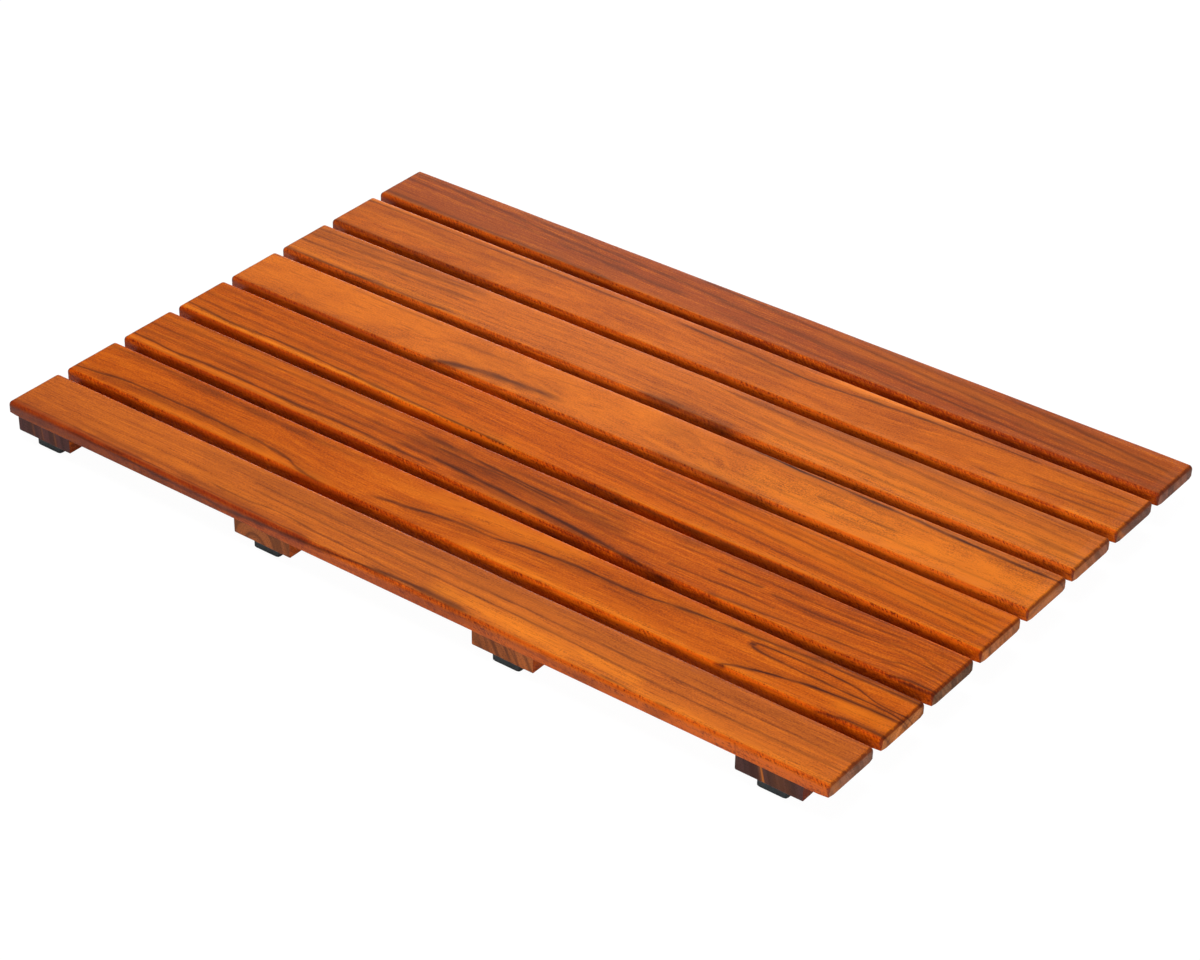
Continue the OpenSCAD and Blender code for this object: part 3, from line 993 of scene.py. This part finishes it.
def cut(piece, cutter_mesh):
    """Takes the cutter's shape, given in the piece's own frame, out of the piece."""
    cutter = new_object("cutter", cutter_mesh, piece.location, piece.rotation_euler.z)
    modifier = piece.modifiers.new("cut", "BOOLEAN")
    modifier.object = cutter
    modifier.operation = "DIFFERENCE"
    modifier.solver = "EXACT"
    bpy.context.view_layer.update()
    evaluated = piece.evaluated_get(bpy.context.evaluated_depsgraph_get())
    mesh = bpy.data.meshes.new_from_object(evaluated)
    piece.modifiers.remove(modifier)
    piece.data = mesh
    bpy.data.objects.remove(cutter)


def smooth(piece):
    """Smooth shading that keeps flat faces flat and breaks at edges sharper than the roundings."""
    mesh = piece.data
    mesh.shade_smooth()
    mesh.set_sharp_from_angle(angle=math.radians(SHARP_DEGREES))
    modifier = piece.modifiers.new("flat faces stay flat", "WEIGHTED_NORMAL")
    modifier.keep_sharp = True


def place(piece, node, material):
    """Puts the piece in for a CAD node, with its material, riding on the one body."""
    piece.data.materials.clear()
    piece.data.materials.append(material)
    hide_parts(node)
    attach(piece, "root")


def centre_and_size(node):
    low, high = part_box(node)
    return (low + high) / 2, high - low


# ---- the object

def build_planks(trees):
    for i, (node, spec) in enumerate(zip(SLAT_NAMES, PLANKS), 1):
        centre, size = centre_and_size(node)
        rounding = (PLANK_ROUND, PLANK_UNDERSIDE_ROUND, PLANK_CORNER)
        mesh = board_mesh(f"plank_{i}", size, *rounding, PLANK_CELLS, PLANK_SWAY)
        piece = new_object(f"plank_{i}", mesh, centre)
        smooth(piece)
        seed = 10.0 * i
        material = wood_material(f"teak plank {i}", seed, spec, size.y, size.z, size.x / 2, trees)
        place(piece, node, material)


def screw_places(j):
    """Where the plank screws of a batten stand, measured from the batten's centre in its own frame."""
    centre, _ = centre_and_size(f"batten_{j}")
    low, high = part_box(f"slat_screws_{j}")
    dx = (high.x - low.x) / 2 - HEAD_RADIUS
    last_plank, _ = centre_and_size(SLAT_NAMES[-1])
    dy = high.y - HEAD_RADIUS - last_plank.y
    places = []
    for node in SLAT_NAMES:
        plank, _ = centre_and_size(node)
        for side in (-1, 1):
            across = Vector((side * dx, plank.y + side * dy - centre.y))
            places.append((across.y, -across.x))
    return places


def build_battens(trees):
    for j, (node, spec) in enumerate(zip(BATTEN_NAMES, BATTENS), 1):
        centre, size = centre_and_size(node)
        along = Vector((size.y, size.x, size.z))
        rounding = (BATTEN_TOP_ROUND, BATTEN_ROUND, BATTEN_CORNER)
        mesh = board_mesh(f"cross_batten_{j}", along, *rounding, BATTEN_CELLS, BATTEN_SWAY)
        piece = new_object(f"cross_batten_{j}", mesh, centre, math.pi / 2)
        mouth = HEAD_RADIUS + HEAD_GAP
        floor = -size.z / 2
        profile = [
            (mouth, floor - MM),
            (mouth, floor + SINK_DEPTH),
            (mouth / 2, floor + SINK_DEPTH + mouth / 2),
        ]
        cut(piece, round_cutter("countersinks", screw_places(j), profile))
        smooth(piece)
        seed = 200.0 + 10 * j
        material = wood_material(f"teak batten {j}", seed, spec, size.x, size.z, size.y / 2, trees)
        place(piece, node, material)


def build_feet(rubber):
    for j in range(1, len(BATTEN_NAMES) + 1):
        for spot in FOOT_PLACES:
            node = f"foot_{j}_{spot}"
            centre, size = centre_and_size(node)
            rounding = (FOOT_TOP_ROUND, FOOT_BEVEL, FOOT_CORNER)
            mesh = board_mesh(f"rubber_pad_{j}_{spot}", size, *rounding, FOOT_CELLS)
            piece = new_object(f"rubber_pad_{j}_{spot}", mesh, centre)
            well = HEAD_RADIUS + HEAD_GAP
            floor = -size.z / 2
            profile = [
                (well + 2 * WELL_LIP, floor - WELL_LIP),
                (well, floor + WELL_LIP),
                (well, floor + WELL_DEPTH),
            ]
            cut(piece, round_cutter("well", [(0, 0)], profile))
            smooth(piece)
            place(piece, node, rubber)


def dress_screws(steel):
    for j in range(1, len(BATTEN_NAMES) + 1):
        for node in (f"slat_screws_{j}", f"foot_screws_{j}"):
            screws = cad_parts[node]
            screws.data.materials.clear()
            screws.data.materials.append(steel)


# ---- camera, floor and light

def make_camera():
    """Camera at the viewing angle of the product shot: from the front right and above."""
    azimuth = math.radians(36.96)
    elevation = math.radians(33.19)
    roll = math.radians(0.855)
    level = math.cos(elevation)
    forward = Vector((-math.sin(azimuth) * level, math.cos(azimuth) * level, -math.sin(elevation)))
    right = Vector((math.cos(azimuth), math.sin(azimuth), 0))
    up = right.cross(forward)
    turned_right = right * math.cos(roll) + up * math.sin(roll)
    turned_up = up * math.cos(roll) - right * math.sin(roll)
    data = bpy.data.cameras.new("camera")
    data.lens = 94.2
    data.sensor_width = 36
    data.clip_end = 100
    location = Vector((1.2585, -1.66375, 1.352))
    camera = new_object("camera", data, location)
    turn = Matrix((turned_right, turned_up, -forward)).transposed()
    camera.matrix_world = Matrix.Translation(location) @ turn.to_4x4()
    bpy.context.scene.camera = camera


# The floor glows where the camera sees it beside the mat, and its paint is dark there. Under the mat
# and for the light that it throws back it is plain paint.
FLOOR_GLOW = 0.97
FLOOR_PAINT = 0.80
FLOOR_PAINT_SEEN = 0.06
FLOOR_HALF = 30
FLOOR_DROP = 0.2 * MM

# How far inside the mat's outline the glow has ended, and how far inside it starts to fade
SHADE_START = 60 * MM
SHADE_END = 20 * MM

# Strength of the surround as a light and as it is mirrored
WORLD_LIGHT = 0.12
WORLD_MIRRORED = 0.30


def make_floor():
    """Pale studio floor: white beside the mat, dark below it, and clear from underneath."""
    bm = bmesh.new()
    corners = [(-1, -1), (1, -1), (1, 1), (-1, 1)]
    bm.faces.new([bm.verts.new((x * FLOOR_HALF, y * FLOOR_HALF, -FLOOR_DROP)) for x, y in corners])
    floor = new_object("floor", mesh_from(bm, "floor"), (0, 0, 0))
    material, g = new_material("pale floor")
    x, y, _ = g.split(g.node("ShaderNodeTexCoord").outputs["Object"])
    below_mat = 1.0
    for offset, half_mat in ((x, cad_box[1][0]), (y, cad_box[1][1])):
        distance = g.math("ABSOLUTE", offset)
        inside = g.step(distance, half_mat - SHADE_START, half_mat - SHADE_END, 1.0, 0.0)
        below_mat = g.multiply(below_mat, inside)
    camera_ray = g.node("ShaderNodeLightPath").outputs["Is Camera Ray"]
    glowing = g.multiply(camera_ray, g.subtract(1.0, below_mat))
    shade = g.add(g.multiply(glowing, FLOOR_PAINT_SEEN - FLOOR_PAINT), FLOOR_PAINT)
    paint = g.node("ShaderNodeBsdfDiffuse", {"Color": g.vector(shade, shade, shade)})
    glow = g.node("ShaderNodeEmission", {"Strength": g.multiply(glowing, FLOOR_GLOW)})
    lit = g.node("ShaderNodeAddShader", {0: paint.outputs[0], 1: glow.outputs[0]})
    clear = g.node("ShaderNodeBsdfTransparent")
    back = g.node("ShaderNodeNewGeometry").outputs["Backfacing"]
    shown = g.node("ShaderNodeMixShader", {0: back, 1: lit.outputs[0], 2: clear.outputs[0]})
    g.node("ShaderNodeOutputMaterial", {0: shown.outputs[0]})
    floor.data.materials.append(material)


def make_world():
    """White studio surround: full white where the camera sees it, dimmer in gloss and as a light."""
    world = bpy.data.worlds.new("studio")
    bpy.context.scene.world = world
    world.use_nodes = True
    world.node_tree.nodes.clear()
    g = Graph(world.node_tree)
    path = g.node("ShaderNodeLightPath").outputs
    strength = g.add(g.multiply(path["Is Glossy Ray"], WORLD_MIRRORED - WORLD_LIGHT), WORLD_LIGHT)
    strength = g.math("MAXIMUM", strength, path["Is Camera Ray"])
    surround = g.node("ShaderNodeBackground", {"Color": (1.0, 1.0, 1.0, 1.0), "Strength": strength})
    g.node("ShaderNodeOutputWorld", {0: surround.outputs[0]})


def area_light(name, location, size, power, mirrored):
    """Square softbox that faces the middle of the mat. It is only mirrored, or it only gives light."""
    data = bpy.data.lights.new(name, "AREA")
    data.shape = "SQUARE"
    data.size = size
    data.energy = power
    light = new_object(name, data, location)
    light.rotation_euler = (-Vector(location)).to_track_quat("-Z", "Y").to_euler()
    light.visible_diffuse = not mirrored
    light.visible_glossy = mirrored


def make_lights():
    area_light("overhead", (-0.3, -0.3, 2.8), 1.6, 62, mirrored=False)
    area_light("behind", (-0.9, 2.7, 0.9), 1.6, 62, mirrored=False)
    area_light("front", (1.3, -1.35, 0.55), 0.7, 15, mirrored=False)
    area_light("sheen", (-2.2, 3.1, 0.6), 1.0, 10, mirrored=True)
    bpy.context.scene.view_settings.view_transform = "Standard"


make_camera()
make_floor()
make_world()
make_lights()
shared_trees = {"vein": vein_group(), "teak": teak_group()}
build_planks(shared_trees)
build_battens(shared_trees)
build_feet(rubber_material())
dress_screws(steel_material())

bpy.context.view_layer.update()
